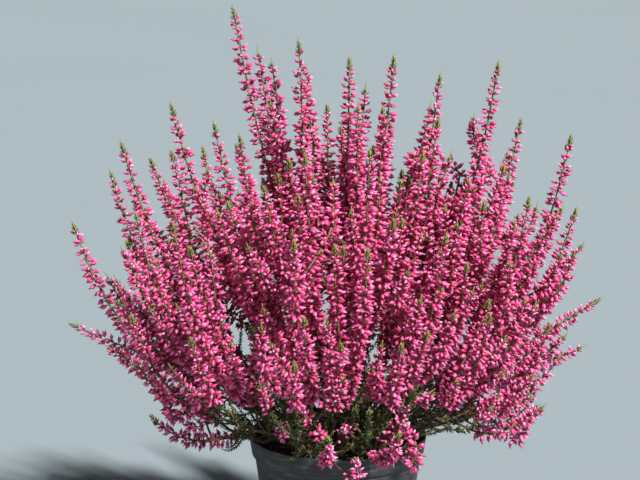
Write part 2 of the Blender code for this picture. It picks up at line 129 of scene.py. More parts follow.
# Bearing, lean and reach of each leafy shoot.
LEAFY_SHOOTS = (
    (202, 58, 0.092),
    (222, 54, 0.086),
    (240, 54, 0.074),
    (274, 48, 0.084),
    (308, 60, 0.084),
    (328, 50, 0.080),
    (352, 50, 0.080),
    (25, 58, 0.088),
    (90, 56, 0.086),
    (155, 60, 0.088),
)
LEAFY_TURNS = range(-10, 11, 2)

POINTS = 24
STEM_RADIUS = 0.0014
SIDE_STEM_RADIUS = 0.0011
SPIKE_RADIUS = 0.0066
BRANCH_SPAN = (0.24, 0.42)
SHORTER_SPAN = (0.70, 0.90)
SPREAD = 0.026
LOW_LEAN = 50
LOW_LONGER = 0.10
LEAF_CORE = 0.0013
LEAF_RADIUS = 0.0040
LEAF_KEPT = 1.1
TWIG_AT = 0.45
TWIG_THINNER = 0.85
TWIG_LENGTH = 0.030
WIDENS = 0.03
NARROW_FROM = 0.96
COMB_ROUNDS = 120
COMB_PUSH = 1.5
COMB_GAP = 0.0009
POT_ROOM = 0.0026
SPIKE_SMOOTHING = 3
LEAFY_SMOOTHING = 9
FOOT_EASE = 5

# The extra spikes that fill the fan. Each leaves a shoot in the first span of its length and ends
# beside it in the second, where there is the most room.
LOW_FILL = ((0.14, 0.26), (0.46, 0.60))
SHOOT_FILL = ((0.34, 0.52), (0.76, 0.93))
MIDDLE_FILL = ((0.28, 0.42), (0.62, 0.80))
RIGHT_FILL = ((0.30, 0.46), (0.70, 0.88))
UPRIGHT_FILL = ((0.44, 0.56), (0.84, 0.95))
FILL_ROUNDS = 30
FILL_TURNS = 10
FILL_ASIDE = (0.012, 0.017, 0.022)
FILL_OVER_RIM = 0.012
FILL_THINNER = 0.8
FULL_SIDE = 0.045
UPRIGHT_LEAN = 26

# The buds: how many to a metre of spike, and how long each is with its stalk.
BUDS_PER_METRE = 1370
BUD_LENGTH = 0.0067
BUD_SIZES = (0.84, 1.12)
BUD_SIDES = 6
BUD_TONES = 8
BUD_AGES = 8
BUDS_TO_TUFT = 6
TUFT_SCATTER = 0.26
YOUNG_SPAN = 0.024
YOUNG_SMALLER = 0.38
LOWER_START = 0.13

# How a bud stands off its stem, in degrees: when old, how much less when young, and either way.
BUD_LEAN = 74
YOUNG_STEEPER = 28
LEAN_SCATTER = 16
BUD_NOD = 0.22

# A bud's shape, in shares of its length: its stalk, where and how wide it is widest, its grooves.
BUD_STALK = (0.20, 0.060)
BUD_WIDEST = 0.52
BUD_WIDTHS = (0.205, 0.245)
BUD_GROOVE = 0.84
BUD_BENDS = (-0.08, 0.10)

# Before and behind the pot the plant is green up to this height over the rim, and higher further out
# by this slope. Far to the sides it is in bud, and so are the lowest sprays.
GREEN_HEIGHT = 0.025
GREEN_SLOPE = 0.23
GREEN_REACH = 0.088
LOWEST_LEAN = 64

# The leaves: the tip of a spike, the scale leaves of a twig and the leaflets among the buds.
TIP_LENGTH = 0.0065
LEAF_SIDES = 3
LEAF_TONES = 8
LEAF_WIDEST = 0.42
LEAF_WIDTHS = (0.20, 0.26)
LEAF_FLAT = 0.6
LEAF_BENDS = (-0.16, -0.05)
LEAF_SIZE = 0.0026
TWIG_LEAF_PITCH = 0.00125

# How many leaves the tip of a spike has, and how much of the tip's length they cover.
FULL_TIP = (18, 0.78)
SMALL_TIP = (6, 0.30)

# Stems and twigs: radius at the foot and at the tip, and number of sides.
STEM_TIP_RADIUS = 0.00035
STEM_SIDES = 5
TWIG_RADIUS = 0.0007
SMALL_TWIG_RADIUS = 0.0005
TWIG_TIP_RADIUS = 0.0003
TWIG_SIDES = 3

# The green twigs at the foot of a spray: where they leave it, how long they are, and how bright.
BASE_TWIGS_AT = (0.07, 0.11, 0.15, 0.19, 0.23, 0.27, 0.31, 0.35)
BASE_TWIG_LENGTHS = (0.018, 0.032)
BASE_TWIG_BRIGHTS = (0.8, 3.8)

# The small twigs of a leafy shoot: how many on its main stem and on its twig, how long, and how bright.
MAIN_TWIGS = 15
SIDE_TWIGS = 6
LEAFY_TWIG_LENGTHS = (0.011, 0.021)
LEAFY_BRIGHT = 3.0
LEAFY_TWIG_BRIGHT = 3.2

# Each shape's map lies in one cell of a square, this far from the cell's edge.
CELL_EDGE = 0.08
CELL_SPAN = 0.84

# The loose bits on the soil: how many, how large, and how thin for their size.
CRUMBS = (600, (0.0005, 0.0013), (0.6, 1.0))
BARK_BITS = (170, (0.0010, 0.0024), (0.25, 0.6))

# The studio: the floor's two colours, and the camera at the photograph's angle.
FLOOR_COLOURS = ((0.235, 0.280, 0.300), (0.255, 0.300, 0.320))
CAMERA_TARGET = Vector((-0.012, 0.0, 0.238))
CAMERA_TILT = math.radians(12)
CAMERA_DISTANCE = 1.35
CAMERA_LENS = 114.5


# ---- how the shoots stand ----


def soil_height(radius):
    """The soil's surface: a low crown in the middle of the pot."""
    return POT_HEIGHT - SOIL_BELOW_RIM + SOIL_CROWN * (1 - (radius / RIM_RADIUS) ** 2)


def wall_radius(height):
    """The pot's outer radius at a height, under the rim's band."""
    top = RIM_RADIUS - RIM_PROUD
    return FOOT_RADIUS + (top - FOOT_RADIUS) * height / POT_HEIGHT


def direction(lean, bearing):
    """A unit vector that leans from upright towards a bearing, both in degrees."""
    tilt, turn = math.radians(lean), math.radians(bearing)
    out = math.sin(tilt)
    return Vector((out * math.cos(turn), out * math.sin(turn), math.cos(tilt)))


def flat_direction(bearing):
    """A unit vector in the plane towards a bearing in degrees."""
    turn = math.radians(bearing)
    return Vector((math.cos(turn), math.sin(turn)))


def towards(first, second, angle):
    """The direction at an angle from the first one towards the second."""
    return first * math.cos(angle) + second * math.sin(angle)


def bezier(start, first, second, end, share):
    """The point at a share of the way along a cubic curve."""
    rest = 1 - share
    return (
        start * rest**3
        + first * (3 * rest**2 * share)
        + second * (3 * rest * share**2)
        + end * share**3
    )


def point_along(points, share):
    """The point at a share of a shoot's length, counted from its first point."""
    place = min(max(share, 0.0), 1.0) * (len(points) - 1)
    index = min(int(place), len(points) - 2)
    return points[index].lerp(points[index + 1], place - index)


def rooted_shoot(root_at, lean, bearing, reach, kept, radius, width):
    """A shoot from its root in the soil over its collar to its tip, in a smooth curve."""
    leaves = min(lean * (FOOT_LEAN - kept), STEEPEST)
    outward = direction(min(leaves, STEEPEST_ROOT), bearing)
    surface = Vector((root_at.x, root_at.y, soil_height(root_at.length)))
    root = surface - outward * ROOT_DEPTH
    collar = surface + outward * COLLAR_HEIGHT
    tip = FAN_CENTRE + direction(lean, bearing) * reach
    span = (tip - collar).length
    first = collar + direction(leaves, bearing) * (FOOT_PULL * span)
    second = tip - direction(lean * kept, bearing) * (TIP_PULL * span)
    curve = [bezier(collar, first, second, tip, k / (POINTS - 2)) for k in range(POINTS - 1)]
    return {
        "points": [root, *curve],
        "radius": radius,
        "width": width,
        "parent": None,
        "start": UPRIGHT_BARE - (UPRIGHT_BARE - LOW_BARE) * min(lean / 60, 1),
        "lean": lean,
        "tip": FULL_TIP,
    }


def side_shoot(main, share, tip, radius, width):
    """A shoot that leaves the main one at a share of its length and turns up beside it."""
    start = point_along(main["points"], share)
    along = (point_along(main["points"], share + 0.05) - start).normalized()
    span = (tip - start).length
    away = (tip - start).normalized()
    first = start + (along * 0.6 + away * 0.4).normalized() * (SIDE_FOOT_PULL * span)
    last = (main["points"][-1] - main["points"][-4]).normalized()
    second = tip - (last * 0.7 + away * 0.3).normalized() * (SIDE_TIP_PULL * span)
    curve = [bezier(start, first, second, tip, k / (POINTS - 1)) for k in range(POINTS)]
    return {
        "points": curve,
        "radius": radius,
        "width": width,
        "parent": main,
        "share": share,
        "start": SIDE_BARE,
        "lean": main["lean"],
        "tip": FULL_TIP,
    }


def root_places(count, circle, offset):
    """Places spread evenly over a circle of soil, the middle ones first."""
    return [
        Vector((math.cos(k * GOLDEN_TURN + offset), math.sin(k * GOLDEN_TURN + offset)))
        * (circle * math.sqrt((k + 0.4) / count))
        for k in range(count)
    ]


def share_out(wanted, places):
    """The place for each wanted point, swapped while that makes the squared distances smaller."""
    chosen = list(places)

    def off(want, place):
        return (wanted[want] - chosen[place]).length_squared

    better = True
    while better:
        better = False
        for a in range(len(wanted)):
            for b in range(a + 1, len(wanted)):
                if off(a, b) + off(b, a) < off(a, a) + off(b, b) - 1e-9:
                    chosen[a], chosen[b] = chosen[b], chosen[a]
                    better = True
    return chosen


def spray_settings():
    """Lean, bearing, reach, share of the lean kept, and number of side spikes of each spray."""
    draw = random.Random(SEED)
    found = []
    for lean, reach, back, kept, sides in OUTLINE_SPRAYS:
        bearing = back if lean > 0 else 180 - back
        found.append((abs(lean), bearing % 360, reach, kept, sides))
    for count, first, last, lean, reach, kept, sides in FILL_RINGS:
        for index in range(count):
            bearing = first + (last - first) * index / (count - 1) + draw.uniform(-5, 5)
            own_lean, own_reach = lean + draw.uniform(-4, 4), reach * draw.uniform(0.92, 1.06)
            found.append((own_lean, bearing, own_reach, kept, sides))
    return found


def plan_sprays():
    """The flowering sprays, each a list of shoots with its main one first."""
    draw = random.Random(SEED + 1)
    settings = sorted(spray_settings(), key=lambda spray: spray[0])
    wanted = []
    for lean, bearing, *_ in settings:
        out = ROOT_CIRCLE * math.sin(math.radians(min(lean * 1.4, 90)))
        wanted.append(flat_direction(bearing) * out)
    places = share_out(wanted, root_places(len(settings), ROOT_CIRCLE, 0.4))
    sprays = []
    for place, (lean, bearing, reach, kept, sides) in zip(places, settings):
        main = rooted_shoot(place, lean, bearing, reach, kept, STEM_RADIUS, SPIKE_RADIUS)
        side_tips = []
        first_turn = draw.uniform(0, math.tau)
        for index in range(sides):
            turn = first_turn + math.tau * index / sides + draw.uniform(-0.3, 0.3)
            heading = direction(lean, bearing)
            across = heading.cross(Vector((0, 0, 1)))
            if across.length < 0.1:
                across = Vector((1, 0, 0))
            across.normalize()
            over = heading.cross(across)
            aside = towards(across, over, turn)
            if lean > LOW_LEAN:
                aside.z = abs(aside.z)
            shorter = draw.uniform(*SHORTER_SPAN) + (LOW_LONGER if lean > LOW_LEAN else 0.0)
            tip = FAN_CENTRE + heading * (reach * shorter) + aside * SPREAD
            side_tips.append((draw.uniform(*BRANCH_SPAN), tip))
        sides_grown = [side_shoot(main, *side, SIDE_STEM_RADIUS, SPIKE_RADIUS) for side in side_tips]
        sprays.append([main, *sides_grown])
    return sprays


def search_tree(points):
    """A tree that finds the nearest of these points."""
    tree = KDTree(len(points))
    for number, point in enumerate(points):
        tree.insert(point, number)
    tree.balance()
    return tree


def leafy_main(bearing, lean, reach):
    """A leafy shoot's own stem, rooted near the pot's wall."""
    place = flat_direction(bearing) * LEAF_ROOT_CIRCLE
    main = rooted_shoot(place, lean, bearing, reach, LEAF_KEPT, LEAF_CORE, LEAF_RADIUS)
    main["start"] = SIDE_BARE
    return main


def plan_leafy_shoots(sprays):
    """The green shoots round the sprays' feet, each a list of its main shoot and its twig."""
    draw = random.Random(SEED + 2)
    plants = []
    for bearing, lean, reach in LEAFY_SHOOTS:
        others = [shoot for plant in sprays + plants for shoot in plant]
        tree = search_tree([point for shoot in others for point in shoot["points"]])
        tried = [leafy_main(bearing + turn, lean, reach) for turn in LEAFY_TURNS]
        main = max(tried, key=lambda each: min(tree.find(p)[2] for p in each["points"][2:]))
        start = point_along(main["points"], TWIG_AT)
        along = (point_along(main["points"], TWIG_AT + 0.06) - start).normalized()
        across = along.cross(Vector((0, 0, 1))).normalized()
        sideways = across * (1 if len(plants) % 2 else -1)
        heading = (along * 0.75 + sideways * 0.65).normalized()
        heading.z = abs(heading.z) + draw.uniform(0, 0.2)
        tip = start + heading * TWIG_LENGTH
        twig = side_shoot(main, TWIG_AT, tip, LEAF_CORE * TWIG_THINNER, LEAF_RADIUS)
        plants.append([main, twig])
    return plants


def shoot_width(shoot, index):
    """How much room a shoot takes round one of its points."""
    share = index / (POINTS - 1)
    if share < shoot["start"] - WIDENS:
        return shoot["radius"]
    if share > NARROW_FROM:
        return shoot["width"] * 0.6
    return shoot["width"]


def joined(shoot, index, other, other_index):
    """Whether two points lie where a side shoot leaves its main one, or beside such a place."""
    if (shoot["parent"] or shoot) is not (other["parent"] or other):
        return False
    near = [k for each, k in ((shoot, index), (other, other_index)) if each["parent"]]
    return min(near) < POINTS // 3


def clear_of_pot(point, width):
    """The push that takes a point of this width off the soil and off the pot's rim and wall."""
    push = Vector((0, 0, 0))
    out = math.hypot(point.x, point.y)
    room = width + POT_ROOM
    if out < RIM_RADIUS - 2 * WALL:
        push.z = max(0.0, soil_height(out) + room - point.z)
    aside, above = out - (RIM_RADIUS - WALL / 2), max(point.z - POT_HEIGHT, 0.0)
    if point.z < POT_HEIGHT and aside < 0:
        aside, above = 0.0, 0.0
    distance = math.hypot(aside, above)
    if distance < 1e-6:
        push.z = POT_HEIGHT + room - point.z
    elif distance < room:
        grow = room / distance - 1
        push.x += point.x / out * aside * grow
        push.y += point.y / out * aside * grow
        push.z = max(push.z, above * grow)
    return push


def smoothed(steps, rounds):
    """A list of vectors, each evened out with its neighbours."""
    last = len(steps) - 1
    for _ in range(rounds):
        steps = [
            (steps[max(k - 1, 0)] + steps[k] * 2 + steps[min(k + 1, last)]) / 4 for k in range(last + 1)
        ]
    return steps


def comb_apart(free, still, turns):
    """Bends the free shoots clear of one another and of the still ones, as the solids are bent."""
    owners = [(shoot, index) for shoot in free + still for index in range(POINTS)]
    reach = 2 * SPIKE_RADIUS + COMB_GAP
    for shoot in free:
        shoot["rest"] = list(shoot["points"])
        shoot["moved"] = [Vector((0, 0, 0)) for _ in range(POINTS)]
    moving = len(free) * POINTS
    for _ in range(turns):
        tree = search_tree([shoot["points"][index] for shoot, index in owners])
        pushes = [Vector((0, 0, 0)) for _ in range(moving)]
        for number, (shoot, index) in enumerate(owners[:moving]):
            here = shoot["points"][index]
            width = shoot_width(shoot, index)
            for there, other_number, distance in tree.find_range(here, reach):
                other, other_index = owners[other_number]
                if other is shoot or joined(shoot, index, other, other_index):
                    continue
                need = width + shoot_width(other, other_index) + COMB_GAP
                if 1e-6 < distance < need:
                    pushes[number] += (here - there) * ((need - distance) / distance * 0.5)
            if index > 2:
                pushes[number] += clear_of_pot(here, width)
        for start in range(0, moving, POINTS):
            shoot = owners[start][0]
            rounds = SPIKE_SMOOTHING if shoot["width"] > LEAF_RADIUS else LEAFY_SMOOTHING
            own = smoothed(pushes[start : start + POINTS], rounds)
            fixed = 0 if shoot["parent"] else 1
            moved = [shoot["moved"][k] + own[k] * COMB_PUSH for k in range(POINTS)]
            moved = smoothed(moved, 1)
            foot = Vector((0, 0, 0))
            if shoot["parent"]:
                main, share = shoot["parent"], shoot["share"]
                foot = point_along(main["points"], share) - shoot["rest"][0]
            for index in range(POINTS):
                ease = min(1.0, max(0, index - fixed) / FOOT_EASE)
                shoot["moved"][index] = moved[index] * ease + foot * (1 - ease)
                shoot["points"][index] = shoot["rest"][index] + shoot["moved"][index]


def fill_plans(spray, number):
    """The shoots of a spray that get extra spikes, each with the spans of that kind of spike."""
    main = spray[0]
    plans = []
    if main["lean"] <= LOW_LEAN and number % 2 == 0:
        plans.append((main, LOW_FILL))
    plans += [(shoot, SHOOT_FILL) for shoot in spray]
    if number % 5 < 2:
        plans.append((main, MIDDLE_FILL))
    if main["points"][-1].x > FULL_SIDE:
        plans += [(main, RIGHT_FILL)] * 2
    if main["lean"] < UPRIGHT_LEAN:
        plans.append((main, UPRIGHT_FILL))
    return plans


def fill_spikes(sprays, leafy):
    """Short spikes that branch off the others and end where the fan has the most room for them."""
    draw = random.Random(SEED + 6)
    shoots = [shoot for plant in sprays + leafy for shoot in plant]
    stems = [point for shoot in shoots for point in shoot["points"]]
    added = []
    for number, spray in enumerate(sprays):
        grown = []
        for main, (leaves_at, ends_at) in fill_plans(spray, number):
            tree = search_tree(stems)
            share, end = draw.uniform(*leaves_at), draw.uniform(*ends_at)
            centre, _, across, over = stem_place(main["points"], end)
            first = draw.uniform(0, math.tau)
            tips = [
                centre + towards(across, over, turn) * aside
                for aside in FILL_ASIDE
                for turn in (first + math.tau * k / FILL_TURNS for k in range(FILL_TURNS))
            ]
            tips = [tip for tip in tips if tip.z > POT_HEIGHT + FILL_OVER_RIM]
            tip = max(tips, key=lambda place: tree.find(place)[2])
            shoot = side_shoot(main, share, tip, SIDE_STEM_RADIUS * FILL_THINNER, SPIKE_RADIUS)
            shoot["tip"] = SMALL_TIP
            grown.append(shoot)
            stems += shoot["points"]
        added.append(grown)
    comb_apart([shoot for grown in added for shoot in grown], shoots, FILL_ROUNDS)
    return added


# ---- materials ----


def new_material(name):
    """An empty material: its nodes, its links and its shader."""
    made = bpy.data.materials.new(name)
    made.use_nodes = True
    tree = made.node_tree
    return made, tree, tree.nodes["Principled BSDF"]


def new_node(tree, kind, **values):
    """A node of one kind, with these values on its inputs, with _ for a space in a name."""
    node = tree.nodes.new("ShaderNode" + kind)
    for name, value in values.items():
        node.inputs[name.replace("_", " ")].default_value = value
    return node


def colour_ramp(tree, stops, factor):
    """A colour ramp over a factor, from (place, colour) stops."""
    node = new_node(tree, "ValToRGB")
    ramp = node.color_ramp
    while len(ramp.elements) < len(stops):
        ramp.elements.new(0.5)
    for element, (place, colour) in zip(ramp.elements, stops):
        element.position = place
        element.color = (*colour, 1.0)
    tree.links.new(factor, node.inputs["Fac"])
    return node.outputs["Color"]


def attribute(tree, name):
    """A number that each point of the piece carries."""
    node = new_node(tree, "Attribute")
    node.attribute_name = name
    return node.outputs["Fac"]


def stretched_noise(tree, where, scale, detail, stretch):
    """Noise over coordinates, which are stretched first."""
    mapping = new_node(tree, "Mapping", Scale=stretch)
    node = new_node(tree, "TexNoise", Scale=scale, Detail=detail)
    tree.links.new(where, mapping.inputs["Vector"])
    tree.links.new(mapping.outputs["Vector"], node.inputs["Vector"])
    return node.outputs["Fac"]


def object_noise(tree, scale, detail, stretch=(1, 1, 1)):
    """Noise over the piece's own coordinates."""
    where = new_node(tree, "TexCoord").outputs["Object"]
    return stretched_noise(tree, where, scale, detail, stretch)


def map_noise(tree, map_name, stretch, detail):
    """Noise over one of the piece's own maps."""
    where = new_node(tree, "UVMap")
    where.uv_map = map_name
    return stretched_noise(tree, where.outputs["UV"], 1.0, detail, stretch)


def mixed(tree, factor, first, second):
    """Two colours mixed by a factor. Each colour is a socket or three numbers, the factor a socket."""
    node = new_node(tree, "Mix")
    node.data_type = "RGBA"
    tree.links.new(factor, node.inputs[0])
    for socket, value in ((node.inputs[6], first), (node.inputs[7], second)):
        if isinstance(value, tuple):
            socket.default_value = (*value, 1.0)
        else:
            tree.links.new(value, socket)
    return node.outputs[2]


def between(tree, factor, low, high, from_low=0.0, from_high=1.0):
    """A number that goes from low to high with the factor."""
    node = new_node(tree, "MapRange", From_Min=from_low, From_Max=from_high, To_Min=low, To_Max=high)
    tree.links.new(factor, node.inputs["Value"])
    return node.outputs["Result"]


def surfaced(tree, shader, colour, roughness, height, strength, distance):
    """Gives a shader its colour, its roughness, and fine relief from a height."""
    tree.links.new(colour, shader.inputs["Base Color"])
    tree.links.new(roughness, shader.inputs["Roughness"])
    node = new_node(tree, "Bump", Strength=strength, Distance=distance)
    tree.links.new(height, node.inputs["Height"])
    tree.links.new(node.outputs["Normal"], shader.inputs["Normal"])


# Along a bud from its foot to its point: the place, the colour when deep, and when bright.
BUD_COLOURS = (
    (0.00, (0.110, 0.085, 0.025), (0.160, 0.130, 0.040)),
    (0.18, (0.160, 0.060, 0.030), (0.260, 0.090, 0.050)),
    (0.28, (0.300, 0.002, 0.038), (0.730, 0.016, 0.210)),
    # From here to the point the pale pink is painted highlight.
    (0.60, (0.570, 0.005, 0.110), (0.900, 0.085, 0.400)),
    (0.85, (0.750, 0.035, 0.240), (0.950, 0.410, 0.670)),
    (1.00, (0.880, 0.200, 0.430), (0.970, 0.820, 0.890)),
)


def bud_petal():
    """Closed sepals: an olive foot, deep crimson above it, magenta and a pale pink point of painted
    highlight, with painted shade in the grooves and streaks of painted highlight.
    """
    made, tree, shader = new_material("bud_petal")
    along, tone, age = attribute(tree, "along"), attribute(tree, "tone"), attribute(tree, "age")
    # Both ramps turn pale pink towards the point: painted highlight.
    deep = colour_ramp(tree, [(place, colour) for place, colour, _ in BUD_COLOURS], along)
    bright = colour_ramp(tree, [(place, colour) for place, _, colour in BUD_COLOURS], along)
    body = mixed(tree, tone, deep, bright)
    older = mixed(tree, between(tree, age, 0.0, 0.22), body, (0.55, 0.010, 0.11))
    # Painted shade: the grooves between the sepals are darkened towards the crimson of shadow.
    ridge = attribute(tree, "ridge")
    groove_painted_shade = mixed(tree, between(tree, ridge, 0.38, 0.0), older, (0.30, 0.002, 0.03))
    # The pale pink streaks along the sepals are painted highlight; the same noise also gives their
    # roughness and fine relief.
    streak_noise = map_noise(tree, "petals", (260, 40, 1), 2)
    highlight_streaked = mixed(tree, between(tree, streak_noise, 0.0, 0.35, 0.45, 0.75), groove_painted_shade, (0.95, 0.50, 0.62))
    shader.inputs["Specular IOR Level"].default_value = 0.5
    surfaced(tree, shader, highlight_streaked, between(tree, streak_noise, 0.30, 0.55), streak_noise, 0.35, 0.0002)
    return made


# Scale leaves, from the oldest to the freshest.
LEAF_COLOURS = (
    (0.00, (0.009, 0.019, 0.005)),
    (0.30, (0.058, 0.084, 0.018)),
    (0.55, (0.150, 0.170, 0.038)),
    (0.80, (0.260, 0.280, 0.050)),
    (1.00, (0.440, 0.440, 0.090)),
)


def heather_leaf():
    """Scale leaves, from old dark green over olive to the fresh yellow green of the tips."""
    made, tree, shader = new_material("heather_leaf")
    along, tone = attribute(tree, "along"), attribute(tree, "tone")
    hue = colour_ramp(tree, LEAF_COLOURS, tone)
    foot = mixed(tree, between(tree, along, 0.55, 0.0, 0.0, 0.5), hue, (0.05, 0.035, 0.010))
    point = mixed(tree, between(tree, along, 0.0, 0.5, 0.7, 1.0), foot, (0.30, 0.20, 0.06))
    streak_noise = map_noise(tree, "leaves", (220, 30, 1), 2)
    mottled = mixed(tree, between(tree, streak_noise, 0.0, 0.4, 0.4, 0.8), point, (0.16, 0.20, 0.06))
    shader.inputs["Specular IOR Level"].default_value = 0.4
    surfaced(tree, shader, mottled, between(tree, streak_noise, 0.42, 0.68), streak_noise, 0.4, 0.0002)
    return made


# Stems, from the foot to the tip.
BARK_COLOURS = (
    (0.00, (0.055, 0.038, 0.024)),
    (0.30, (0.090, 0.055, 0.030)),
    (0.55, (0.200, 0.150, 0.075)),
    (1.00, (0.230, 0.200, 0.080)),
)


def heather_bark():
    """Stems: grey brown wood below, reddish and then olive towards the tip."""
    made, tree, shader = new_material("heather_bark")
    hue = colour_ramp(tree, BARK_COLOURS, attribute(tree, "along"))
    flakes = object_noise(tree, 900, 4, (1, 1, 0.3))
    bark = mixed(tree, between(tree, flakes, 0.0, 0.6, 0.42, 0.70), hue, (0.23, 0.17, 0.11))
    surfaced(tree, shader, bark, between(tree, flakes, 0.65, 0.95), flakes, 0.6, 0.0003)
    return made


def pot_plastic():
    """Dark grey moulded plastic, rubbed and dusty, with pale streaks round it."""
    made, tree, shader = new_material("pot_plastic")
    cloud = object_noise(tree, 28, 5)
    streaks = object_noise(tree, 60, 6, (1, 1, 9))
    grain = object_noise(tree, 1400, 3)
    rubbed = between(tree, cloud, 0.0, 0.8, 0.35, 0.7)
    base = mixed(tree, rubbed, (0.030, 0.030, 0.033), (0.065, 0.062, 0.062))
    dusty = mixed(tree, between(tree, streaks, 0.0, 0.75, 0.52, 0.72), base, (0.20, 0.19, 0.18))
    worn = mixed(tree, between(tree, grain, 0.0, 0.30, 0.45, 0.8), dusty, (0.14, 0.13, 0.125))
    surfaced(tree, shader, worn, between(tree, streaks, 0.42, 0.85), grain, 0.35, 0.0003)
    return made


def potting_soil():
    """Peat: nearly black with brown fibres."""
    made, tree, shader = new_material("potting_soil")
    lumps = object_noise(tree, 160, 6)
    fibres = object_noise(tree, 500, 4, (1, 0.35, 1))
    dry = between(tree, lumps, 0.0, 1.0, 0.35, 0.7)
    base = mixed(tree, dry, (0.010, 0.007, 0.005), (0.045, 0.026, 0.016))
    fibrous = mixed(tree, between(tree, fibres, 0.0, 0.7, 0.56, 0.72), base, (0.12, 0.065, 0.035))
    surfaced(tree, shader, fibrous, between(tree, lumps, 0.80, 1.0), lumps, 0.9, 0.0015)
    return made


# Bits of bark, from dark to pale.
CRUMB_COLOURS = (
    (0.30, (0.030, 0.014, 0.008)),
    (0.50, (0.110, 0.045, 0.022)),
    (0.68, (0.240, 0.110, 0.055)),
)


def bark_crumb():
    """Bits of bark: reddish brown, some paler."""
    made, tree, shader = new_material("bark_crumb")
    grain = object_noise(tree, 420, 5)
    hue = colour_ramp(tree, CRUMB_COLOURS, grain)
    surfaced(tree, shader, hue, between(tree, grain, 0.65, 0.95), grain, 0.7, 0.0008)
    return made


# ---- small shapes that are repeated ----


def new_mesh(name, bm):
    """A mesh of this name from a bmesh, which is freed."""
    mesh = bpy.data.meshes.new(name)
    bm.to_mesh(mesh)
    bm.free()
    return mesh


def new_object(name, data):
    """An object of this name in the scene."""
    obj = bpy.data.objects.new(name, data)
    bpy.context.scene.collection.objects.link(obj)
    return obj


def spindle(sides, rings, groove, flat, bend, cell, cells, map_name, values):
    """A pointed shape a unit long that points along +Z, as a mesh. rings holds heights and radii.
    groove draws in every second corner, flat thins it and bend leans its point. Each name in values
    is carried by its points, and its map fills one cell."""
    bm = bmesh.new()
    height, radius = rings[0]
    lift = Matrix.Translation((0, 0, height))
    made = bmesh.ops.create_circle(
        bm, cap_ends=True, cap_tris=True, segments=sides, radius=radius, matrix=lift
    )["verts"]
    foot = min(made, key=lambda vert: math.hypot(vert.co.x, vert.co.y))
    foot.co.z = 0.0
    for height, radius in (*rings[1:], (1.0, 0.0)):
        lip = [edge for edge in bm.edges if edge.is_boundary]
        grown = bmesh.ops.extrude_edge_only(bm, edges=lip)["geom"]
        ring = [each for each in grown if isinstance(each, bmesh.types.BMVert)]
        for vert in ring:
            across = vert.co.xy.normalized() * radius
            vert.co = (across.x, across.y, height)
    bmesh.ops.pointmerge(bm, verts=ring, merge_co=(0, 0, 1))
    bmesh.ops.recalc_face_normals(bm, faces=bm.faces)
    layers = {name: bm.verts.layers.float.new(name) for name in ("along", "ridge", *values)}
    own_map = bm.loops.layers.uv.new(map_name)
    bake_map = bm.loops.layers.uv.new("OFBake")
    for face in bm.faces:
        middle = face.calc_center_median()
        facing = math.atan2(middle.y, middle.x)
        for loop in face.loops:
            place = loop.vert.co
            angle = facing
            if math.hypot(place.x, place.y) > 1e-6:
                angle += (math.atan2(place.y, place.x) - facing + math.pi) % math.tau - math.pi
            share = min(max(angle / math.tau + 0.5, 0.0), 1.0)
            right = cell[0] + CELL_EDGE + CELL_SPAN * share
            up = cell[1] + CELL_EDGE + CELL_SPAN * place.z
            spot = Vector((right, up)) / cells
            loop[own_map].uv = spot
            loop[bake_map].uv = spot
    for vert in bm.verts:
        step = round(math.atan2(vert.co.y, vert.co.x) / math.tau * sides)
        raised = step % 2 == 0
        carried = {"along": vert.co.z, "ridge": 1.0 if raised else 0.0, **values}
        for name, value in carried.items():
            vert[layers[name]] = value
        if not raised:
            vert.co.x *= groove
            vert.co.y *= groove
        vert.co.x = vert.co.x * flat + bend * vert.co.z**2
    bmesh.ops.triangulate(bm, faces=bm.faces, quad_method="SHORT_EDGE")
    return new_mesh("shape", bm)


def bud_shapes():
    """Closed buds on their stalks, from old to young and from deep to pale."""
    draw = random.Random(SEED + 3)
    shapes = []
    for age in range(BUD_AGES):
        row = []
        for tone in range(BUD_TONES):
            young = age / (BUD_AGES - 1)
            fat = draw.uniform(*BUD_WIDTHS) * (1 + 0.06 * young)
            rings = (BUD_STALK, (BUD_WIDEST, fat))
            values = {
                "tone": min(max(tone / (BUD_TONES - 1) + draw.uniform(-0.08, 0.08), 0.0), 1.0),
                "age": 1 - young,
            }
            bend = draw.uniform(*BUD_BENDS)
            cell = (tone, age)
            row.append(
                spindle(BUD_SIDES, rings, BUD_GROOVE, 1.0, bend, cell, BUD_TONES, "petals", values)
            )
        shapes.append(row)
    return shapes


def leaf_shapes():
    """Scale leaves, from old and dark to young and bright."""
    draw = random.Random(SEED + 4)
    shapes = []
    for tone in range(LEAF_TONES):
        rings = ((LEAF_WIDEST, draw.uniform(*LEAF_WIDTHS)),)
        values = {"tone": tone / (LEAF_TONES - 1)}
        bend = draw.uniform(*LEAF_BENDS)
        cell = (tone, 0)
        shapes.append(
            spindle(LEAF_SIDES, rings, 1.0, LEAF_FLAT, bend, cell, LEAF_TONES, "leaves", values)
        )
    return shapes


def laid(centre, heading, outward, size):
    """The transform that lays a unit shape at a place, along heading, its flat side outward."""
    side = heading.cross(outward).normalized()
    face = side.cross(heading)
    turn = Matrix((face, side, heading)).transposed().to_4x4()
    return Matrix.Translation(centre) @ turn @ Matrix.Scale(size, 4)


def add_shape(bm, shape, transform):
    """Joins one copy of a small shape to a piece."""
    copy = shape.copy()
    copy.transform(transform)
    bm.from_mesh(copy)
    bpy.data.meshes.remove(copy)


# ---- stems, buds and leaves ----


def shoot_length(points):
    """The length of a line through these points."""
    return sum((b - a).length for a, b in zip(points, points[1:]))


def stem_place(points, share):
    """A place on a shoot: its centre, its direction and two directions across it."""
    centre = point_along(points, share)
    ahead = point_along(points, min(share + READ_SPAN, 1.0))
    behind = point_along(points, max(share - READ_SPAN, 0.0))
    along = (ahead - behind).normalized()
    across = along.cross(Vector((0.3, -1.0, 0.1))).normalized()
    return centre, along, across, along.cross(across)


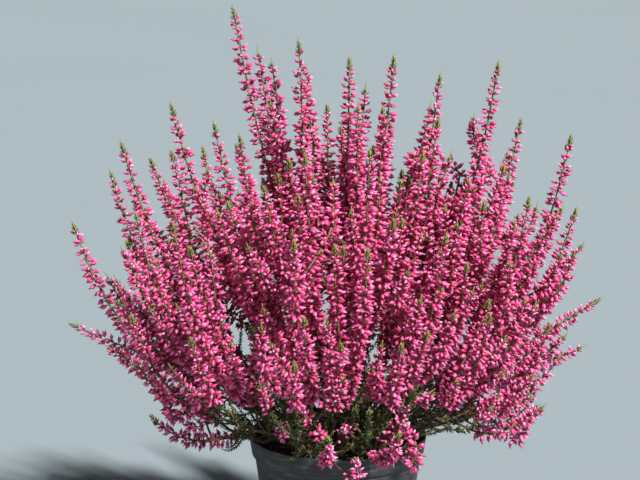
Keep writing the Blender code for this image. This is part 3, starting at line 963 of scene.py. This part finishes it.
def grow_stem(bm, points, first_radius, last_radius, strip, strips, sides, span=(0.0, 1.0)):
    """A stem through the points, which narrows to its tip. Its map is a strip of its own."""
    own_map = bm.loops.layers.uv.verify()
    own_along = bm.verts.layers.float["along"]
    ring_count = len(points)
    cap, below = None, None
    for number in range(ring_count):
        share = number / (ring_count - 1)
        centre, _, across, over = stem_place(points, share)
        radius = first_radius + (last_radius - first_radius) * share
        ring = [
            centre + towards(across, over, math.tau * side / sides) * radius for side in range(sides)
        ]
        if cap is None:
            corners = [bm.verts.new(place) for place in ring]
            cap = bm.faces.new(corners)
        else:
            cap = bmesh.ops.extrude_discrete_faces(bm, faces=[cap])["faces"][0]
            corners = list(cap.verts)
            for vert, place in zip(corners, ring):
                vert.co = place
        for vert in corners:
            vert[own_along] = span[0] + (span[1] - span[0]) * share
        if below:
            spots = {vert: (side, number - 1) for side, vert in enumerate(below)}
            spots |= {vert: (side, number) for side, vert in enumerate(corners)}
            for wall in [loop.link_loop_radial_next.face for loop in cap.loops]:
                last_side = any(spots[vert][0] == sides - 1 for vert in wall.verts)
                for loop in wall.loops:
                    side, height = spots[loop.vert]
                    if side == 0 and last_side:
                        side = sides
                    across_map = (strip + 0.05 + 0.9 * side / sides) / strips
                    loop[own_map].uv = (across_map, height / (ring_count - 1))
        below = corners


def add_round(bm, shape, place, turn, lean, off, size):
    """Joins a shape to a piece beside a place on a stem, turned round the stem and leant off it."""
    centre, along, across, over = place
    outward = towards(across, over, turn)
    heading = towards(along, outward, lean)
    add_shape(bm, shape, laid(centre + outward * off, heading, outward, size))


def in_bud(place, lean):
    """Whether a place on a shoot is clear of the green foot of the plant."""
    high = place.z - GREEN_SLOPE * abs(place.y) > POT_HEIGHT + GREEN_HEIGHT
    return high or abs(place.x) > GREEN_REACH or lean > LOWEST_LEAN


def dress_spike(buds, leaves, shoot, shapes, leaf_forms, draw, start):
    """Buds round a spike from its start to its leafy tip, with a leaflet under many of them."""
    points = shoot["points"]
    length = shoot_length(points)
    end = 1 - TIP_LENGTH / length
    flowering = (end - start) * length
    tufts = max(2, round(flowering * BUDS_PER_METRE / BUDS_TO_TUFT))
    turn = draw.uniform(0, math.tau)
    for number in range(tufts * BUDS_TO_TUFT):
        tuft = (number // BUDS_TO_TUFT + 0.5 + draw.gauss(0, TUFT_SCATTER)) / tufts
        share = start + (end - start) * min(max(tuft, 0.0), 1.0)
        place = centre, along, across, over = stem_place(points, share)
        turn += GOLDEN_TURN + draw.uniform(-0.35, 0.35)
        outward = towards(across, over, turn)
        young = max(0.0, 1 - (end - share) * length / YOUNG_SPAN)
        scatter = draw.uniform(-LEAN_SCATTER, LEAN_SCATTER)
        lean = math.radians(BUD_LEAN - YOUNG_STEEPER * young + scatter)
        heading = towards(along, outward, lean)
        heading.z -= BUD_NOD * (1 - young)
        heading.normalize()
        size = BUD_LENGTH * (1 - YOUNG_SMALLER * young**1.3) * draw.uniform(*BUD_SIZES)
        if share < start + 0.06:
            size *= 0.85
        age = min(int(young * BUD_AGES * 0.8 + draw.uniform(0, 2)), BUD_AGES - 1)
        tone = min(int(draw.betavariate(0.95, 1.15) * BUD_TONES), BUD_TONES - 1)
        if shoot["lean"] > LOWEST_LEAN and young > 0.4:
            tone = BUD_TONES - 1
        radius = shoot["radius"] * (1 - 0.7 * share)
        if not in_bud(centre, shoot["lean"]):
            low = laid(centre, heading, outward, draw.uniform(0.0032, 0.0050))
            add_shape(leaves, leaf_forms[draw.choice((0, 0, 1, 2))], low)
            continue
        foot = centre + outward * (radius * 0.6)
        add_shape(buds, shapes[age][tone], laid(foot, heading, outward, size))
        if number % 2 == 0:
            lean = math.radians(draw.uniform(20, 50))
            form = leaf_forms[draw.choice((1, 2, 2, 3, 3, 4))]
            leaf_size = draw.uniform(0.0022, 0.0034)
            add_round(leaves, form, place, turn + 1.5, lean, radius * 0.5, leaf_size)
    leafy_tip(leaves, points, end, leaf_forms, draw, *shoot["tip"])


def leafy_tip(leaves, points, start, leaf_forms, draw, count, reach):
    """Fresh scale leaves in opposite pairs that close over the tip of a spike."""
    for number in range(count):
        step = number / (count - 1)
        share = start - 0.004 + (1 - start) * reach * step
        place = stem_place(points, share)
        turn = (number // 2) * math.pi / 2 + (number % 2) * math.pi + draw.uniform(-0.2, 0.2)
        lean = math.radians(48 - 34 * step + draw.uniform(-8, 8))
        form = leaf_forms[min(LEAF_TONES - 1, 3 + int(draw.uniform(0, 2.6) + step * 1.7))]
        add_round(leaves, form, place, turn, lean, 0.0006, 0.0035 - 0.0008 * step)


def dress_twig(leaves, points, start, leaf_forms, draw, bright, size=LEAF_SIZE):
    """Scale leaves in opposite pairs along a green twig, brighter towards its tip."""
    length = shoot_length(points)
    pairs = max(4, int((1 - start) * length / TWIG_LEAF_PITCH))
    for number in range(pairs):
        step = number / pairs
        share = start + (1 - start) * step
        place = stem_place(points, share)
        for opposite in (0, math.pi):
            turn = number * math.pi / 2 + opposite + draw.uniform(-0.25, 0.25)
            lean = math.radians(46 - 26 * step**2 + draw.uniform(-8, 8))
            tone = bright + 2.2 * step**2 + draw.uniform(-0.8, 0.8)
            form = leaf_forms[min(max(int(tone), 0), LEAF_TONES - 1)]
            grown = size * draw.uniform(0.85, 1.15) * (1 - 0.35 * step**3)
            add_round(leaves, form, place, turn, lean, 0.0003, grown)


def twig_points(start, heading, rise, length, count=9):
    """A short twig that leaves in one direction and bends towards another."""
    middle = start + heading * (length * 0.55)
    tip = middle + (heading * 0.5 + rise * 0.5).normalized() * (length * 0.45)
    first = start.lerp(middle, 0.6)
    return [bezier(start, first, middle, tip, k / (count - 1)) for k in range(count)]


def finished(name, bm, material, nodes):
    """A piece of the object: its mesh, its material, and the solids that it stands for."""
    mesh = new_mesh(name, bm)
    mesh.shade_smooth()
    mesh.materials.append(material)
    obj = new_object(name, mesh)
    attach(obj, "root")
    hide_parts(*nodes)


def new_stems():
    """An empty bmesh for stems, with the number and the map that grow_stem fills in."""
    stems = bmesh.new()
    stems.verts.layers.float.new("along")
    stems.loops.layers.uv.new("OFBake")
    return stems


def make_spray(number, shoots, shapes, leaf_forms, materials):
    """One flowering spray: its buds, its leaves and its stems."""
    draw = random.Random(SEED * 100 + number)
    name = f"spray_{number:02d}"
    buds, leaves, stems = bmesh.new(), bmesh.new(), new_stems()
    twigs = base_twigs(shoots[0], draw)
    strips = len(shoots) + len(twigs)
    for strip, shoot in enumerate(shoots):
        course = [*shoot["points"][:-1:2], shoot["points"][-1]]
        grow_stem(stems, course, shoot["radius"], STEM_TIP_RADIUS, strip, strips, STEM_SIDES)
        start = shoot["start"] - (0.0 if shoot["lean"] > LOW_LEAN else LOWER_START)
        dress_spike(buds, leaves, shoot, shapes, leaf_forms, draw, start)
    for strip, (points, bright) in enumerate(twigs, len(shoots)):
        ends = TWIG_RADIUS, TWIG_TIP_RADIUS
        grow_stem(stems, points, *ends, strip, strips, TWIG_SIDES, (0.3, 0.9))
        dress_twig(leaves, points, 0.05, leaf_forms, draw, bright)
    node = (name,)
    finished(f"{name}_buds", buds, materials["bud"], node)
    finished(f"{name}_leaves", leaves, materials["leaf"], node)
    finished(f"{name}_stems", stems, materials["bark"], node)


def base_twigs(main, draw):
    """Short green twigs on the bare foot of a spray."""
    twigs = []
    for share in BASE_TWIGS_AT:
        start, along, across, over = stem_place(main["points"], share + draw.uniform(-0.02, 0.02))
        outward = towards(across, over, draw.uniform(0, math.tau))
        heading = (along * 0.7 + outward * 0.8).normalized()
        points = twig_points(start, heading, Vector((0, 0, 1)), draw.uniform(*BASE_TWIG_LENGTHS))
        twigs.append((points, draw.uniform(*BASE_TWIG_BRIGHTS)))
    return twigs


def make_leafy_shoot(number, shoots, leaf_forms, materials):
    """One green shoot with its twigs, clothed in scale leaves."""
    draw = random.Random(SEED * 200 + number)
    name = f"leafy_shoot_{number:02d}"
    leaves, stems = bmesh.new(), new_stems()
    twigs = []
    for shoot in shoots:
        count = SIDE_TWIGS if shoot["parent"] else MAIN_TWIGS
        for index in range(count):
            share = 0.34 + 0.56 * index / count
            start, along, across, over = stem_place(shoot["points"], share)
            turn = index * math.pi * 0.76 + draw.uniform(-0.4, 0.4)
            outward = towards(across, over, turn)
            heading = (along * 0.8 + outward * 0.7).normalized()
            twigs.append(twig_points(start, heading, along, draw.uniform(*LEAFY_TWIG_LENGTHS), 6))
    strips = len(shoots) + len(twigs)
    for strip, shoot in enumerate(shoots):
        grow_stem(stems, shoot["points"], shoot["radius"] * 0.8, 0.0004, strip, strips, STEM_SIDES)
        start = 0.1 if shoot["parent"] else 0.24
        dress_twig(leaves, shoot["points"], start, leaf_forms, draw, LEAFY_BRIGHT)
    for strip, points in enumerate(twigs, len(shoots)):
        ends = SMALL_TWIG_RADIUS, TWIG_TIP_RADIUS
        grow_stem(stems, points, *ends, strip, strips, TWIG_SIDES, (0.4, 1.0))
        dress_twig(leaves, points, 0.05, leaf_forms, draw, LEAFY_TWIG_BRIGHT, 0.0025)
    finished(f"{name}_leaves", leaves, materials["leaf"], (name,))
    finished(f"{name}_stems", stems, materials["bark"], (name,))


# ---- pot and soil ----


def turned(profile, steps):
    """A bmesh turned from a section of (radius, height) points, which starts and ends on the axis."""
    bm = bmesh.new()
    verts = [bm.verts.new((radius, 0.0, height)) for radius, height in profile]
    edges = [bm.edges.new(pair) for pair in zip(verts, verts[1:])]
    axis = {"cent": (0, 0, 0), "axis": (0, 0, 1), "angle": math.tau}
    bmesh.ops.spin(bm, geom=verts + edges, steps=steps, use_merge=True, **axis)
    bmesh.ops.remove_doubles(bm, verts=bm.verts, dist=1e-6)
    bmesh.ops.recalc_face_normals(bm, faces=bm.faces)
    return bm


def pot_profile():
    """The section of the pot's shell: underside, wall, band, rolled lip and inside."""
    band = POT_HEIGHT - RIM_BAND
    lip = WALL / 2
    profile = [(0, 0.0016), (FOOT_RADIUS - 0.006, 0.0016), (FOOT_RADIUS - 0.005, 0.0004)]
    profile += [(FOOT_RADIUS - EDGE, 0), (FOOT_RADIUS - 0.2 * EDGE, 0.3 * EDGE), (FOOT_RADIUS, EDGE)]
    profile += [(wall_radius(z), z) for z in (0.02, 0.045, 0.07, band - 0.001)]
    profile += [(wall_radius(band), band), (wall_radius(band) + 0.7 * RIM_PROUD, band + 0.1 * EDGE)]
    profile += [(wall_radius(band) + RIM_PROUD, band + EDGE)]
    middle = RIM_RADIUS - lip
    profile += [(RIM_RADIUS, POT_HEIGHT - lip)]
    profile += [
        (middle + lip * math.cos(a), POT_HEIGHT - lip + lip * math.sin(a))
        for a in (math.pi * k / 8 for k in range(1, 8))
    ]
    return profile + [(wall_radius(band) - WALL, band), (wall_radius(FLOOR) - WALL, FLOOR), (0, FLOOR)]


def drill(pot):
    """Cuts the drain holes out of the pot's floor, and gives the new mesh."""
    holes = bpy.data.collections.new("holes")
    for index in range(DRAIN_HOLES):
        bearing = math.tau * (index + 0.5) / DRAIN_HOLES
        bm = bmesh.new()
        place = (DRAIN_CIRCLE * math.cos(bearing), DRAIN_CIRCLE * math.sin(bearing), 0)
        size = {"radius1": DRAIN_RADIUS, "radius2": DRAIN_RADIUS, "depth": 6 * FLOOR}
        spot = Matrix.Translation(place)
        bmesh.ops.create_cone(bm, cap_ends=True, segments=32, matrix=spot, **size)
        holes.objects.link(bpy.data.objects.new("hole", new_mesh("hole", bm)))
    cut = pot.modifiers.new("drain", "BOOLEAN")
    cut.operation = "DIFFERENCE"
    cut.solver = "EXACT"
    cut.operand_type = "COLLECTION"
    cut.collection = holes
    bpy.context.view_layer.update()
    result = bpy.data.meshes.new_from_object(pot.evaluated_get(bpy.context.evaluated_depsgraph_get()))
    pot.modifiers.clear()
    pot.data = result
    for each in list(holes.objects):
        bpy.data.objects.remove(each)
    bpy.data.collections.remove(holes)
    return result


def make_pot(materials):
    """The pot's shell, with a rolled lip, its band and its drain holes."""
    pot = new_object("pot_shell", new_mesh("pot_shell", turned(pot_profile(), 96)))
    result = drill(pot)
    result.shade_smooth()
    result.set_sharp_from_angle(angle=math.radians(40))
    result.materials.clear()
    result.materials.append(materials["pot"])
    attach(pot, "root")
    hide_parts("pot")


def strewn_bits(draw, circle, count, sizes, thinness):
    """Angular bits strewn over the soil, inside a circle."""
    bm = bmesh.new()
    for _ in range(count):
        out = circle * math.sqrt(draw.random())
        turn = draw.uniform(0, math.tau)
        size = draw.uniform(*sizes)
        thin = draw.uniform(*thinness)
        made = bmesh.ops.create_icosphere(bm, subdivisions=1, radius=1.0)["verts"]
        for vert in made:
            vert.co *= draw.uniform(0.75, 1.2)
        height = soil_height(out) + size * thin * 0.3
        spot = Matrix.Translation((out * math.cos(turn), out * math.sin(turn), height))
        tilt = Matrix.Rotation(draw.uniform(-0.5, 0.5), 4, "X")
        turned_by = Matrix.Rotation(draw.uniform(0, 6), 4, "Z")
        shape = Matrix.Diagonal((size * draw.uniform(1.0, 1.7), size, size * thin, 1))
        bmesh.ops.transform(bm, matrix=spot @ (tilt @ turned_by) @ shape, verts=made)
    return bm


def make_soil(materials):
    """The soil: a crumbly crown inside the pot, with loose crumbs and bits of bark on it."""
    edge_height = soil_height(RIM_RADIUS)
    top_radius = wall_radius(edge_height) - WALL - GAP
    profile = [(0, FLOOR + GAP), (wall_radius(FLOOR) - WALL - GAP, FLOOR + GAP)]
    rings = 40
    profile += [
        (top_radius * (1 - k / rings), soil_height(top_radius * (1 - k / rings)) - 0.0005)
        for k in range(rings + 1)
    ]
    bm = turned(profile, 120)
    for vert in bm.verts:
        if vert.co.z > edge_height - 0.002:
            place = Vector((vert.co.x, vert.co.y, 0.0))
            inside = min(1.0, (top_radius - place.length) / 0.002)
            rough = noise.noise(place * 260) * 0.0007 + noise.noise(place * 700) * 0.0004
            vert.co.z += rough * inside
    bmesh.ops.triangulate(bm, faces=bm.faces, quad_method="SHORT_EDGE")
    finished("soil_bed", bm, materials["soil"], ("soil",))

    draw = random.Random(SEED + 5)
    circle = top_radius * 0.97
    crumbs, bark = (strewn_bits(draw, circle, *kind) for kind in (CRUMBS, BARK_BITS))
    finished("soil_crumbs", crumbs, materials["soil"], ("soil",))
    finished("bark_bits", bark, materials["crumb"], ("soil",))


# ---- the studio ----


def make_floor():
    """A plain pale floor."""
    bm = bmesh.new()
    bmesh.ops.create_grid(bm, x_segments=1, y_segments=1, size=30)
    mesh = new_mesh("floor", bm)
    floor_material, tree, shader = new_material("pale_floor")
    cloud = object_noise(tree, 0.8, 2)
    tree.links.new(mixed(tree, cloud, *FLOOR_COLOURS), shader.inputs["Base Color"])
    shader.inputs["Roughness"].default_value = 0.9
    mesh.materials.append(floor_material)
    floor = new_object("floor", mesh)


def make_lights():
    """Soft light from the upper right, with a little from the left and from all round."""
    world = bpy.data.worlds.new("studio")
    world.use_nodes = True
    sky = world.node_tree.nodes["Background"]
    sky.inputs["Color"].default_value = (0.82, 0.90, 0.92, 1.0)
    sky.inputs["Strength"].default_value = 0.10
    bpy.context.scene.world = world
    for name, place, spread, power in (
        ("key_light", (1.1, -1.3, 2.2), 5, 6.7),
        ("fill_light", (-1.8, -1.4, 1.2), 40, 0.10),
    ):
        lamp = bpy.data.lights.new(name, "SUN")
        lamp.angle = math.radians(spread)
        lamp.energy = power
        light = new_object(name, lamp)
        light.location = place
        aim = Vector((0, 0, 0.22)) - light.location
        light.rotation_euler = aim.to_track_quat("-Z", "Y").to_euler()


def make_camera():
    """The camera, at the photograph's angle."""
    lens = bpy.data.cameras.new("camera")
    lens.sensor_width = 36
    lens.lens = CAMERA_LENS
    camera = new_object("camera", lens)
    back = Vector((0, -math.cos(CAMERA_TILT), math.sin(CAMERA_TILT)))
    camera.location = CAMERA_TARGET + back * CAMERA_DISTANCE
    aim = CAMERA_TARGET - camera.location
    camera.rotation_euler = aim.to_track_quat("-Z", "Y").to_euler()
    bpy.context.scene.camera = camera
    bpy.context.scene.view_settings.view_transform = "Standard"


def main():
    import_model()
    make_floor()
    make_lights()
    make_camera()
    sprays = plan_sprays()
    leafy = plan_leafy_shoots(sprays)
    comb_apart([shoot for plant in sprays + leafy for shoot in plant], [], COMB_ROUNDS)
    sprays = [spray + added for spray, added in zip(sprays, fill_spikes(sprays, leafy))]
    materials = {"bud": bud_petal(), "leaf": heather_leaf(), "bark": heather_bark()}
    materials |= {"pot": pot_plastic(), "soil": potting_soil(), "crumb": bark_crumb()}
    shapes, leaf_forms = bud_shapes(), leaf_shapes()
    make_pot(materials)
    make_soil(materials)
    for number, shoots in enumerate(sprays, 1):
        make_spray(number, shoots, shapes, leaf_forms, materials)
    for number, shoots in enumerate(leafy, 1):
        make_leafy_shoot(number, shoots, leaf_forms, materials)
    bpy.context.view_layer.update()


main()
